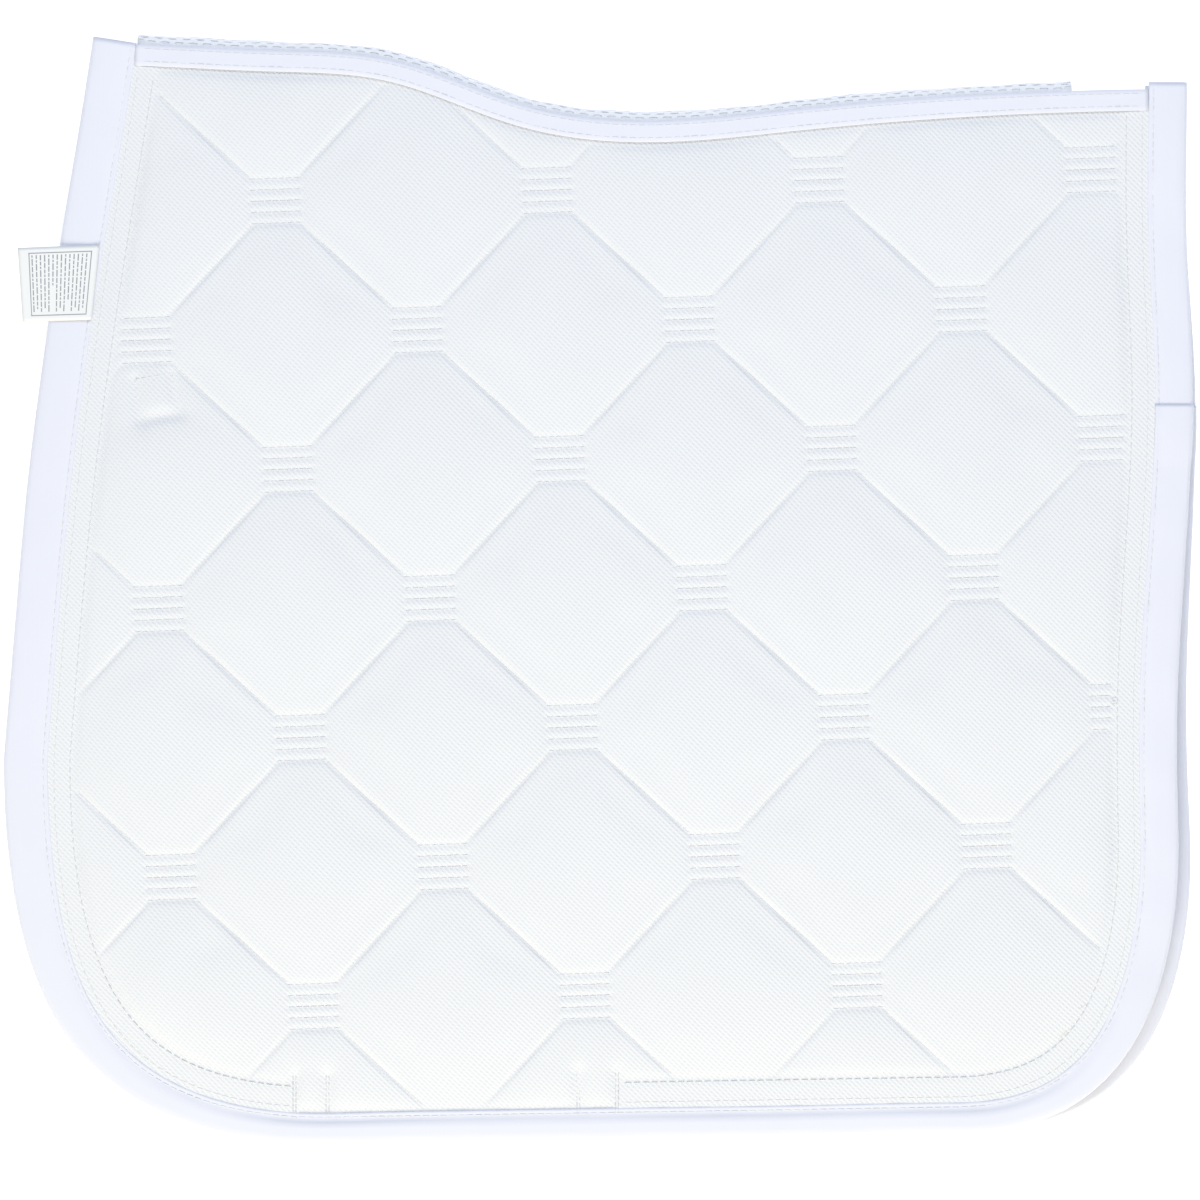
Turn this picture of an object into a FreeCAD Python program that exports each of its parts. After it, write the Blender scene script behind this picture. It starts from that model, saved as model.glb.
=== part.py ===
"""A quilted saddle pad, folded in half along its spine with the linings outwards, lying flat.

X runs from the front of the pad to its rear, Y towards the spine and Z up. The origin is on the
resting surface, under the middle of the folded pad. Lengths are in millimetres.

Each half is drawn in its own local frame, lining down, with z = 0 on the lining's face. The left
half lies as drawn. The right half is turned over about X and laid on top, so that the outer
covers face each other across the fold. The left half also leans a little towards the rear.
"""
import os

import FreeCAD
import Part
import Sketcher
from FreeCAD import Placement, Rotation, Vector

SIZES = [
    ("half_thickness", 9.4),     # one half, from the lining's crowns to the cover's crowns
    ("fold_gap", 8.0),           # between the two covers, where the straps lie
    ("fabric", 0.8),             # lining, cover, binding and tape, each with its share of fill
    ("lean", 0.02),              # rearward lean of the left half, per unit below the spine
    ("lean_line", 274.0),        # the height in plan from which the lean is measured
    ("front_top_x", -277.0),     # front edge: its top corner, its middle and its lowest point
    ("front_top_y", 297.0),
    ("front_mid_x", -309.0),
    ("front_mid_y", 84.0),
    ("front_low_x", -325.0),
    ("front_low_y", -92.0),
    ("front_corner_reach", 105.0),   # how far the corner curve follows the bottom edge
    ("front_corner_drop", 168.0),    # how far it follows the front edge
    ("bottom_front_x", -150.0),
    ("bottom_front_y", -303.0),
    ("bottom_rear_x", 192.0),
    ("bottom_rear_y", -297.5),
    ("rear_corner_reach", 78.0),
    ("rear_corner_drop", 113.0),
    ("rear_low_x", 315.5),
    ("rear_low_y", -136.0),
    ("rear_waist_y", -46.0),
    ("rear_swell_x", 323.0),     # the edge swells where the ends of the binding overlap
    ("rear_swell_y", 104.0),
    ("rear_upper_y", 194.0),
    ("rear_top_x", 320.0),
    ("rear_top_y", 272.0),
    ("shoulder_y", 293.0),       # the spine line, from the shoulder back to the loin
    ("shoulder_x", -178.0),
    ("withers_y", 286.5),
    ("withers_x", -109.0),
    ("slope_y", 264.0),
    ("slope_x", -45.0),
    ("dip_y", 254.5),
    ("dip_x", 20.0),
    ("rise_y", 261.0),
    ("rise_x", 109.0),
    ("loin_y", 269.0),
    ("loin_x", 213.0),
    ("drawn_out", 45.0),         # how far the edge lines are drawn past the corners they make
    ("binding_front", 24.0),     # visible widths of the binding, and its rise past the spine tape
    ("binding_bottom", 16.5),
    ("binding_rear", 21.0),
    ("binding_rise", 4.0),
    ("band_front", 38.0),        # from the outer edge to the inner edge of the flat band
    ("band_bottom", 44.0),
    ("band_rear", 35.0),
    ("tape_width", 11.5),
    ("mesh_rise", 6.0),          # how far the folded mesh stands beyond the spine tape
    ("mesh_thickness", 1.2),
    ("clearance", 0.4),
    ("braid_bottom", 30.0),      # from the bottom edge to the upper edge of the braid
    ("braid_thickness", 1.0),
    ("loop_front_x", -167.0),    # girth loop, sewn down at both ends
    ("loop_length", 179.0),
    ("loop_middle_y", -272.4),
    ("loop_width", 22.0),
    ("loop_sewn", 19.0),
    ("loop_ramp", 20.0),
    ("loop_lift", 5.8),
    ("webbing", 1.4),
    ("strap_x", -252.0),         # billet strap: the front end of its sewn box
    ("strap_y", 103.0),
    ("strap_turn", 10.0),
    ("strap_length", 150.0),
    ("strap_width", 22.0),
    ("patch_width", 18.0),
    ("patch_thickness", 1.1),
    ("loop_patch_start", 30.0),
    ("loop_patch_length", 62.0),
    ("hook_patch_start", 106.0),
    ("hook_patch_length", 38.0),
    ("label_x", -275.5),         # care label: the middle of its sewn edge
    ("label_y", 166.5),
    ("label_turn", -2.0),
    ("label_reach", 41.0),
    ("label_width", 40.5),
    ("label_thickness", 0.5),
]

doc = FreeCAD.newDocument("SaddlePad")
sheet = doc.addObject("Spreadsheet::Sheet", "Sizes")
for row, (alias, value) in enumerate(SIZES, start=1):
    sheet.set(f"A{row}", alias)
    sheet.set(f"B{row}", str(value))
    sheet.setAlias(f"B{row}", alias)
doc.recompute()

# Heights in a half's local frame, as expressions of the sheet's cells.
FLOOR = "0"
MIDDLE = "Sizes.half_thickness / 2"
TOP = "Sizes.half_thickness"
LINING_LEDGE = f"{MIDDLE} - Sizes.fabric"
COVER_LEDGE = f"{MIDDLE} + Sizes.fabric"
BINDING_LOW = f"{MIDDLE} - 2 * Sizes.fabric"
BINDING_TOP = f"{MIDDLE} + 2 * Sizes.fabric"
STACK = "2 * Sizes.half_thickness + Sizes.fold_gap"
HALVES = ("left", "right")


def size(alias):
    """The value of one cell of the sheet."""
    return float(sheet.get(alias))


# ---------------------------------------------------------------- plan curves


def plan_point(half, x, y):
    """A point of the plan in a half's local frame: the left half leans, the right is turned over."""
    if half == "left":
        return Vector(x + size("lean") * (size("lean_line") - y), y, 0)
    return Vector(x, -y, 0)


def smooth_curve(half, points):
    """A smooth curve through points given in plan."""
    curve = Part.BSplineCurve()
    curve.interpolate([plan_point(half, x, y) for x, y in points])
    return curve


def corner_curve(half, poles):
    """A corner, as a cubic curve with four poles given in plan."""
    curve = Part.BezierCurve()
    curve.setPoles([plan_point(half, x, y) for x, y in poles])
    return curve.toBSpline()


def straight(start, end):
    """A straight edge between two points of a half's local frame."""
    return Part.LineSegment(start, end)


def named_point(name):
    """A named point of the plan, from the sheet."""
    return size(f"{name}_x"), size(f"{name}_y")


def spine_line(half, inset):
    """The whole spine line moved inwards, with both ends drawn out past the corners."""
    names = ("front_top", "shoulder", "withers", "slope", "dip", "rise", "loin", "rear_top")
    front, *middle, rear = [named_point(name) for name in names]
    beyond = size("drawn_out")
    points = [(front[0] - beyond, front[1]), front, *middle, rear, (rear[0] + beyond, rear[1])]
    return smooth_curve(half, [(x, y - inset) for x, y in points])


def front_line(half, front):
    """The whole front edge moved rearwards, with its top drawn out past the spine."""
    top, middle, low = [named_point(name) for name in ("front_top", "front_mid", "front_low")]
    beyond = size("drawn_out")
    slope = (top[0] - middle[0]) / (top[1] - middle[1])
    points = [(top[0] + slope * beyond, top[1] + beyond), top, middle, low]
    return smooth_curve(half, [(x + front, y) for x, y in points])


def rear_line(half, rear):
    """The whole rear edge moved forwards, with its top drawn out past the spine."""
    low, top = named_point("rear_low"), named_point("rear_top")
    points = [
        low,
        (low[0], size("rear_waist_y")),
        named_point("rear_swell"),
        (top[0], size("rear_upper_y")),
        top,
        (top[0], top[1] + size("drawn_out")),
    ]
    return smooth_curve(half, [(x - rear, y) for x, y in points])


def meeting(curve, other):
    """The curve's parameter where it crosses the other one."""
    return curve.parameter(curve.intersectCC(other)[0].toShape().Point)


def spine_curve(half, front, rear, inset):
    """The spine line at an inset, between the front and rear edges at theirs."""
    curve = spine_line(half, inset)
    ends = meeting(curve, front_line(half, front)), meeting(curve, rear_line(half, rear))
    curve.segment(*ends)
    return curve


def front_curve(half, front, inset):
    """The front edge moved rearwards, from the spine to where its lower corner begins."""
    curve = front_line(half, front)
    curve.segment(meeting(curve, spine_line(half, inset)), curve.LastParameter)
    return curve


def front_corner(half, front, bottom):
    """The rounded corner between the front and bottom edges."""
    x, y = size("front_low_x") + front, size("front_low_y")
    end_x, end_y = size("bottom_front_x"), size("bottom_front_y") + bottom
    drop = size("front_corner_drop") * (y - end_y) / (y - size("bottom_front_y"))
    reach = size("front_corner_reach") * (end_x - x) / (end_x - size("front_low_x"))
    poles = [(x, y), (x - 1.0, y - drop), (end_x - reach, end_y), (end_x, end_y)]
    return corner_curve(half, poles)


def rear_corner(half, rear, bottom):
    """The rounded corner between the bottom and rear edges."""
    x, y = size("rear_low_x") - rear, size("rear_low_y")
    start_x, start_y = size("bottom_rear_x"), size("bottom_rear_y") + bottom
    drop = size("rear_corner_drop") * (y - start_y) / (y - size("bottom_rear_y"))
    reach = size("rear_corner_reach") * (x - start_x) / (size("rear_low_x") - start_x)
    poles = [(start_x, start_y), (start_x + reach, start_y), (x, y - drop), (x, y)]
    return corner_curve(half, poles)


def rear_curve(half, rear, inset):
    """The rear edge moved forwards, from its lower corner to the spine."""
    curve = rear_line(half, rear)
    curve.segment(curve.FirstParameter, meeting(curve, spine_line(half, inset)))
    return curve


def outline(half, front, bottom, rear, inset):
    """The pad's closed outline, moved inwards by a width on each of its four sides."""
    first, second = front_curve(half, front, inset), front_corner(half, front, bottom)
    fourth, fifth = rear_corner(half, rear, bottom), rear_curve(half, rear, inset)
    return [
        first,
        second,
        straight(second.EndPoint, fourth.StartPoint),
        fourth,
        fifth,
        spine_curve(half, front, rear, inset),
    ]


def spine_strip(half, near, far, front, rear):
    """A strip along the spine line between two insets."""
    low, high = spine_curve(half, front, rear, near), spine_curve(half, front, rear, far)
    return [
        low,
        high,
        straight(low.StartPoint, high.StartPoint),
        straight(low.EndPoint, high.EndPoint),
    ]


def front_band(half, widths, end_x):
    """A strip down the front and round the corner, between two insets, to a point on the bottom."""
    curves, tops, ends = [], [], []
    for front, bottom in widths:
        side, corner = front_curve(half, front, size("tape_width")), front_corner(half, front, bottom)
        stop = plan_point(half, end_x, size("bottom_front_y") + bottom)
        corner.segment(corner.FirstParameter, corner.parameter(stop))
        curves += [side, corner]
        tops.append(side.StartPoint)
        ends.append(corner.EndPoint)
    return curves + [straight(*tops), straight(*ends)]


def rear_band(half, widths, start_x):
    """A strip along the bottom from a point, round the corner and up the rear to the spine tape."""
    curves, starts, tops = [], [], []
    for rear, bottom in widths:
        corner, side = rear_corner(half, rear, bottom), rear_curve(half, rear, size("tape_width"))
        line = straight(front_corner(half, 0, bottom).EndPoint, corner.StartPoint)
        start = line.value(line.parameter(plan_point(half, start_x, size("bottom_rear_y") + bottom)))
        curves += [straight(start, corner.StartPoint), corner, side]
        starts.append(start)
        tops.append(side.EndPoint)
    return curves + [straight(*starts), straight(*tops)]


# ---------------------------------------------------------------- solids


def new_body(label, half="left", x=0.0, y=0.0, turn=0.0, height=FLOOR):
    """A body that is drawn lining down, and lies at a height and a place of one half."""
    body = doc.addObject("PartDesign::Body", label)
    body.Label = label
    level = Rotation(Vector(0, 0, 1), turn)
    if half == "left":
        lean = size("lean") * (size("lean_line") - y) if (x or y) else 0.0
        body.Placement = Placement(Vector(x + lean, y, 0), level)
        body.setExpression("Placement.Base.z", height)
    else:
        body.Placement = Placement(Vector(x, y, 0), level * Rotation(Vector(1, 0, 0), 180))
        body.setExpression("Placement.Base.z", f"{STACK} - ({height})")
    return body


def new_sketch(body, name, plane, geometry, height=FLOOR):
    """A sketch on one of the body's own planes, raised to a height."""
    sketch = body.newObject("Sketcher::SketchObject", f"{body.Name}_{name}")
    support = next(item for item in body.Origin.OriginFeatures if item.Role == plane)
    sketch.AttachmentSupport = [(support, "")]
    sketch.MapMode = "FlatFace"
    sketch.setExpression("AttachmentOffset.Base.z", height)
    sketch.addGeometry(geometry, False)
    return sketch


def add_layer(body, name, geometry, low, high):
    """Adds a layer of the drawn shape between two heights."""
    sketch = new_sketch(body, f"{name}_sketch", "XY_Plane", geometry, low)
    layer = body.newObject("PartDesign::Pad", f"{body.Name}_{name}")
    layer.Profile = sketch
    layer.setExpression("Length", f"({high}) - ({low})")
    doc.recompute()
    return layer


def cut_layer(body, name, geometry, low, high):
    """Cuts the drawn shape away between two heights, and makes sure that something went."""
    before = body.Shape.Volume
    sketch = new_sketch(body, f"{name}_sketch", "XY_Plane", geometry, high)
    layer = body.newObject("PartDesign::Pocket", f"{body.Name}_{name}")
    layer.Profile = sketch
    layer.setExpression("Length", f"({high}) - ({low})")
    doc.recompute()
    if body.Shape.Volume >= before:
        raise RuntimeError(f"{layer.Name} cut nothing")
    return layer


def add_rectangle(body, length, width, thickness, start=FLOOR):
    """A flat strip along X from a start, centred on Y, with its sizes bound to the sheet."""
    corners = [Vector(1, -1, 0), Vector(9, -1, 0), Vector(9, 1, 0), Vector(1, 1, 0)]
    sides = [straight(corners[i], corners[(i + 1) % 4]) for i in range(4)]
    sketch = new_sketch(body, "plan", "XY_Plane", sides)
    for i in range(4):
        sketch.addConstraint(Sketcher.Constraint("Coincident", i, 2, (i + 1) % 4, 1))
    sketch.addConstraint(Sketcher.Constraint("Horizontal", 0))
    sketch.addConstraint(Sketcher.Constraint("Vertical", 1))
    sketch.addConstraint(Sketcher.Constraint("Horizontal", 2))
    sketch.addConstraint(Sketcher.Constraint("Symmetric", 0, 1, 3, 1, -1))
    for name, kind, ends, binding in (
        ("start", "DistanceX", (-1, 1, 0, 1), start),
        ("length", "DistanceX", (0, 1, 0, 2), length),
        ("width", "DistanceY", (1, 1, 1, 2), width),
    ):
        index = sketch.addConstraint(Sketcher.Constraint(kind, *ends, 1.0))
        sketch.renameConstraint(index, name)
        sketch.setExpression(f"Constraints.{name}", binding)
    strip = body.newObject("PartDesign::Pad", f"{body.Name}_strip")
    strip.Profile = sketch
    strip.setExpression("Length", thickness)
    doc.recompute()


# ---------------------------------------------------------------- the pieces


def whole_half(half):
    """The outline inside the fold of the binding, flush with the spine line."""
    inset = size("fabric") + size("clearance")
    return outline(half, inset, inset, inset, 0.0)


def quilted_area(half, shrink=0.0):
    """The padded area, inside the flat band and the spine tape."""
    sides = size("band_front"), size("band_bottom"), size("band_rear")
    spine_side = size("tape_width") + size("clearance")
    return outline(half, *[width + shrink for width in sides], spine_side + shrink)


def make_lining(half):
    """A shallow tray: a padded floor, with a ledge that runs out to the edges of the pad."""
    body = new_body(f"{half}_lining", half)
    add_layer(body, "ledge", whole_half(half), LINING_LEDGE, MIDDLE)
    add_layer(body, "floor", quilted_area(half), FLOOR, MIDDLE)
    cut_layer(body, "hollow", quilted_area(half, size("fabric")), "Sizes.fabric", MIDDLE)


def make_cover(half):
    """The same tray turned over: the two ledges meet, and the wadding fills the space between."""
    body = new_body(f"{half}_outer_cover", half)
    add_layer(body, "ledge", whole_half(half), MIDDLE, COVER_LEDGE)
    add_layer(body, "crown", quilted_area(half), MIDDLE, TOP)
    cut_layer(body, "hollow", quilted_area(half, size("fabric")), MIDDLE, f"{TOP} - Sizes.fabric")


def make_wadding(half):
    """One sheet of wadding, between the lining and the cover."""
    body = new_body(f"{half}_wadding", half)
    area = quilted_area(half, size("fabric"))
    add_layer(body, "sheet", area, "Sizes.fabric", f"{TOP} - Sizes.fabric")


def make_binding(half):
    """Tape folded over the front, bottom and rear edges, open inwards and at the spine."""
    beyond = -30.0
    fabric = size("fabric")
    body = new_body(f"{half}_edge_binding", half)
    around = outline(half, 0, 0, 0, -size("binding_rise"))
    add_layer(body, "tape", around, BINDING_LOW, BINDING_TOP)
    slot = outline(half, fabric, fabric, fabric, beyond)
    cut_layer(body, "slot", slot, LINING_LEDGE, COVER_LEDGE)
    widths = size("binding_front"), size("binding_bottom"), size("binding_rear")
    cut_layer(body, "window", outline(half, *widths, beyond), BINDING_LOW, BINDING_TOP)


def make_spine_tape(half):
    """Flat tape along the spine on the lining side, between the ends of the binding."""
    body = new_body(f"{half}_spine_tape", half)
    ends = size("binding_front") + size("clearance"), size("binding_rear") + size("clearance")
    strip = spine_strip(half, 0.0, size("tape_width"), *ends)
    add_layer(body, "tape", strip, BINDING_LOW, LINING_LEDGE)


def make_braids(half):
    """Flat braid on the cover's ledge, from the spine to the girth loop at the front and rear."""
    gap = size("clearance")
    braid_top = f"{COVER_LEDGE} + Sizes.braid_thickness"
    bottom = size("binding_bottom") + gap, size("braid_bottom") - gap
    loop_rear = size("loop_front_x") + size("loop_length")
    widths = [(size("binding_front") + gap, bottom[0]), (size("band_front") - gap, bottom[1])]
    body = new_body(f"{half}_front_braid", half)
    add_layer(body, "braid", front_band(half, widths, size("loop_front_x") - gap), COVER_LEDGE, braid_top)
    widths = [(size("binding_rear") + gap, bottom[0]), (size("band_rear") - gap, bottom[1])]
    body = new_body(f"{half}_rear_braid", half)
    add_layer(body, "braid", rear_band(half, widths, loop_rear + gap), COVER_LEDGE, braid_top)


def make_girth_loop(half):
    """A webbing strip on the cover's ledge, sewn down at both ends and lifted between them."""
    place = {"x": size("loop_front_x"), "y": size("loop_middle_y")}
    body = new_body(f"{half}_girth_loop", half, **place, height=COVER_LEDGE)
    sewn, ramp, length = size("loop_sewn"), size("loop_ramp"), size("loop_length")
    lift, webbing = size("loop_lift"), size("webbing")
    stations = [0, sewn, sewn + ramp, length - sewn - ramp, length - sewn, length]
    heights = [0, 0, lift, lift, 0, 0]
    under = [Vector(x, z, 0) for x, z in zip(stations, heights)]
    over = [point + Vector(0, webbing, 0) for point in reversed(under)]
    ring = under + over
    sides = [straight(point, ring[(i + 1) % len(ring)]) for i, point in enumerate(ring)]
    profile = new_sketch(body, "profile", "XZ_Plane", sides)
    strip = body.newObject("PartDesign::Pad", f"{body.Name}_strip")
    strip.Profile = profile
    strip.SideType = "Symmetric"
    strip.setExpression("Length", "Sizes.loop_width")
    doc.recompute()


def make_billet_strap(half):
    """A webbing strap on the cover's crown, with its hook and loop patches on top."""
    turn = size("strap_turn")
    place = {"half": half, "x": size("strap_x"), "y": size("strap_y"), "turn": turn}
    body = new_body(f"{half}_billet_strap", height=TOP, **place)
    add_rectangle(body, "Sizes.strap_length", "Sizes.strap_width", "Sizes.webbing")
    for kind in ("loop_patch", "hook_patch"):
        patch = new_body(f"{half}_{kind}", height=f"{TOP} + Sizes.webbing", **place)
        bindings = f"Sizes.{kind}_length", "Sizes.patch_width", "Sizes.patch_thickness"
        add_rectangle(patch, *bindings, start=f"Sizes.{kind}_start")


def make_spine_mesh():
    """The open mesh that joins the halves, folded over between their spine lines."""
    rise, skin, gap = size("mesh_rise"), size("mesh_thickness"), size("clearance")
    ends = size("binding_front") + gap, size("binding_rear") + 38.0
    body = new_body("spine_mesh")
    half_skin = "Sizes.mesh_thickness / 2"
    low, high = f"{MIDDLE} - {half_skin}", f"{STACK} - {MIDDLE} + {half_skin}"
    add_layer(body, "fold", spine_strip("left", -gap, -rise, *ends), low, high)
    hollow = spine_strip("left", 0.0, skin - rise, ends[0] - 1.0, ends[1] - 1.0)
    inner = f"{MIDDLE} + {half_skin}", f"{STACK} - {MIDDLE} - {half_skin}"
    cut_layer(body, "hollow", hollow, *inner)


def make_care_label():
    """A woven label, sewn in at the front binding's inner edge and lying outwards over it."""
    place = {"x": size("label_x"), "y": size("label_y"), "turn": size("label_turn") + 180.0}
    height = f"{BINDING_LOW} - Sizes.clearance - Sizes.label_thickness"
    body = new_body("care_label", "right", **place, height=height)
    add_rectangle(body, "Sizes.label_reach", "Sizes.label_width", "Sizes.label_thickness")


def check_document():
    """Stops if any object failed, or any piece has no valid solid."""
    for item in doc.Objects:
        if {"Invalid", "Error"} & set(item.State):
            raise RuntimeError(f"{item.Label} is in state {item.State}")
    for body in doc.findObjects("PartDesign::Body"):
        if body.Shape.isNull() or not body.Shape.isValid() or not body.Shape.Solids:
            raise RuntimeError(f"{body.Label} has no valid solid")


for half_name in HALVES:
    make_lining(half_name)
    make_wadding(half_name)
    make_cover(half_name)
    make_binding(half_name)
    make_spine_tape(half_name)
    make_braids(half_name)
    make_girth_loop(half_name)
    make_billet_strap(half_name)
make_spine_mesh()
make_care_label()
doc.recompute()
check_document()

os.makedirs("parts", exist_ok=True)
for piece in doc.findObjects("PartDesign::Body"):
    piece.Shape.exportStep(f"parts/{piece.Label}.step")
    box = piece.Shape.BoundBox
    print(
        f"{piece.Label:22s} x {box.XMin:7.1f} {box.XMax:7.1f}  y {box.YMin:7.1f} {box.YMax:7.1f}"
        f"  z {box.ZMin:5.1f} {box.ZMax:5.1f}  {piece.Shape.Volume / 1000:8.1f} cm3"
    )
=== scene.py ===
"""The looks of a quilted saddle pad, folded in half along its spine with the linings outwards.

Lengths are in metres, in the frame's own coordinates: X to the rear, Y to the spine, Z up.
The pad is drawn once in plan. Each half then places the drawing at its own height. Within a
half, a point's `h` is its height over the half's mid-plane, positive on the lining's side.
Lines in plan carry their inward normal, so that `v` is a distance in from the line.
"""

import math
from types import SimpleNamespace

import bpy
import numpy as np
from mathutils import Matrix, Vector


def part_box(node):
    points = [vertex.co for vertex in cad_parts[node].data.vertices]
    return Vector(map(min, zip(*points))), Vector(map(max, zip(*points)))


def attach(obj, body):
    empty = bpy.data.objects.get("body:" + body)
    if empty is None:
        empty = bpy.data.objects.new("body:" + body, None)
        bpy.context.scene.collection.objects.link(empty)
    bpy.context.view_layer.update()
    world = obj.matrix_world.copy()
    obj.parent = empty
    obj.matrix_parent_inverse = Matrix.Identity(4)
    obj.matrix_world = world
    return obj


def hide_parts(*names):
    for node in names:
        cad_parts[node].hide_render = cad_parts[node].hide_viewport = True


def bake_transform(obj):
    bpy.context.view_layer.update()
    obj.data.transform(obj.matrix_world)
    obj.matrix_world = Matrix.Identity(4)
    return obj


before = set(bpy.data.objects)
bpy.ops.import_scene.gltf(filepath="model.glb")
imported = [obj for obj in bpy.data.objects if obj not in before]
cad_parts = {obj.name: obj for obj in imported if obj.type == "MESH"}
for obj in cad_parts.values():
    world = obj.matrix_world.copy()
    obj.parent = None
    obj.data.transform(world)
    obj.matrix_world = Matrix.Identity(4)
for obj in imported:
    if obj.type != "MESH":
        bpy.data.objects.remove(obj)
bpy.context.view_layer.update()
MM = 0.001

# ---------------------------------------------------------------- lines in plan


def natural_spline(knots, values):
    """A natural cubic spline through the values, as a function."""
    x, y = np.array(knots, float) * MM, np.array(values, float) * MM
    step, count = np.diff(x), len(x)
    system, right = np.eye(count), np.zeros(count)
    for i in range(1, count - 1):
        system[i, i - 1 : i + 2] = step[i - 1], 2 * (step[i - 1] + step[i]), step[i]
        right[i] = 6 * ((y[i + 1] - y[i]) / step[i] - (y[i] - y[i - 1]) / step[i - 1])
    bend = np.linalg.solve(system, right)

    def value(at):
        at = np.asarray(at, float)
        i = np.clip(np.searchsorted(x, at) - 1, 0, count - 2)
        past, left = at - x[i], x[i + 1] - at
        cubic = (bend[i] * left**3 + bend[i + 1] * past**3) / (6 * step[i])
        start = (y[i] / step[i] - bend[i] * step[i] / 6) * left
        return cubic + start + (y[i + 1] / step[i] - bend[i + 1] * step[i] / 6) * past

    return value


spine_y = natural_spline(
    (-322, -277, -178, -109, -45, 20, 109, 213, 320, 365),
    (297, 297, 293, 286.5, 264, 254.5, 261, 269, 272, 272),
)
front_x = natural_spline((-92, 84, 297, 342), (-325, -309, -277, -270.2))
rear_x = natural_spline((-136, -46, 104, 194, 272, 317), (315.5, 315.5, 323, 320, 320, 320))


def bezier(poles, count):
    """Points on a cubic Bezier curve."""
    first, second, third, last = np.array(poles, float) * MM
    t = np.linspace(0, 1, count)[:, None]
    inner = 3 * (1 - t) * t * ((1 - t) * second + t * third)
    return (1 - t) ** 3 * first + inner + t**3 * last


def ease(value):
    """0 below 0, 1 above 1, and smooth between."""
    value = np.clip(value, 0, 1)
    return value * value * (3 - 2 * value)


def make_path(points, shares, spacing):
    """A line in plan at even steps, with its tangents, inward normals and shares."""
    run = np.concatenate([[0], np.cumsum(np.linalg.norm(np.diff(points, axis=0), axis=1))])
    keep = np.concatenate([[True], np.diff(run) > 1e-9])
    points, shares, run = points[keep], shares[keep], run[keep]
    u = np.linspace(0, run[-1], int(run[-1] / spacing) + 1)
    xy = np.stack([np.interp(u, run, points[:, i]) for i in range(2)], 1)
    share = np.stack([np.interp(u, run, shares[:, i]) for i in range(3)], 1)
    tangent = np.gradient(xy, axis=0)
    tangent /= np.linalg.norm(tangent, axis=1)[:, None]
    normal = np.stack([-tangent[:, 1], tangent[:, 0]], 1)
    return SimpleNamespace(u=u, xy=xy, tangent=tangent, normal=normal, share=share)


def edge_points():
    """The outer edge from the front's top, down, along the bottom and up the rear."""
    down = np.linspace(301, -92, 160) * MM          # along the front
    up = np.linspace(-136, 276, 160) * MM           # along the rear
    pieces = [
        (np.stack([front_x(down), down], 1), (0, 0)),
        (bezier([(-325, -92), (-326, -260), (-255, -303), (-150, -303)], 90), (0, 1)),
        (np.linspace((-150, -303), (192, -297.5), 90) * MM, (1, 1)),
        (bezier([(192, -297.5), (270, -297.5), (315.5, -249), (315.5, -136)], 70), (1, 2)),
        (np.stack([rear_x(up), up], 1), (2, 2)),
    ]
    points, shares = [], []
    for piece, (start, end) in pieces:
        part = ease(np.linspace(0, 1, len(piece)))[:, None]
        points.append(piece)
        shares.append((1 - part) * np.eye(3)[start] + part * np.eye(3)[end])
    return np.concatenate(points), np.concatenate(shares)


def spine_path(start, end):
    """The spine line from rear to front, so that its inward normal points down."""
    x = np.linspace(end, start, 260)
    points = np.stack([x, spine_y(x)], 1)
    path = make_path(points, np.zeros((len(x), 3)), 2.4 * MM)
    path.normal = -path.normal if path.normal[0, 1] > 0 else path.normal
    return path


EDGE = make_path(*edge_points(), 3 * MM)
FRONT_END, REAR_END = -253.1 * MM, 298.6 * MM   # of the spine tape
TAPE_PATH = spine_path(FRONT_END, REAR_END)
TAPE_REACH = 12.2 * MM                          # from the spine line to the quilting
BAND_START = 13 * MM                            # from the spine line to the band and the braids
LOOP_START, LOOP_END = -167 * MM, 12 * MM       # of the girth loop, along X
LOOP_Y = -272.4 * MM


def edge_share(u):
    """How much of the front, the bottom and the rear there is at runs along the edge."""
    return np.stack([np.interp(u, EDGE.u, EDGE.share[:, i]) for i in range(3)], 1)


def on_path(path, u, v=0.0):
    """Points at runs `u` along a line and distances `v` in from it."""
    u = np.asarray(u, float)
    xy, normal = (
        np.stack([np.interp(u, path.u, grid[:, i]) for i in range(2)], -1)
        for grid in (path.xy, path.normal)
    )
    return xy + normal * np.asarray(v)[..., None]


def from_edge(xy):
    """For points in plan: the distance in from the edge, the normal there and the shares."""
    near = np.empty(len(xy), int)
    for first in range(0, len(xy), 8000):
        part = xy[first : first + 8000]
        far = ((part[:, None, :] - EDGE.xy[None]) ** 2).sum(2)
        near[first : first + 8000] = far.argmin(1)
    away = xy - EDGE.xy[near]
    inside = (away * EDGE.normal[near]).sum(1)
    run = EDGE.u[near] + (away * EDGE.tangent[near]).sum(1)
    return inside, EDGE.normal[near], edge_share(run)


def widths(share, front, bottom, rear):
    """A width in millimetres that changes from the front to the bottom to the rear."""
    return share @ (np.array([front, bottom, rear]) * MM)


def open_stretch(x, share):
    """1 along the bottom between the ends of the girth loop, and 0 elsewhere."""
    blend = 5 * MM
    along = ease((x - LOOP_START) / blend) * ease((LOOP_END - x) / blend)
    return along * (share[:, 1] > 0.5)


# ---------------------------------------------------------------- the two halves

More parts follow.
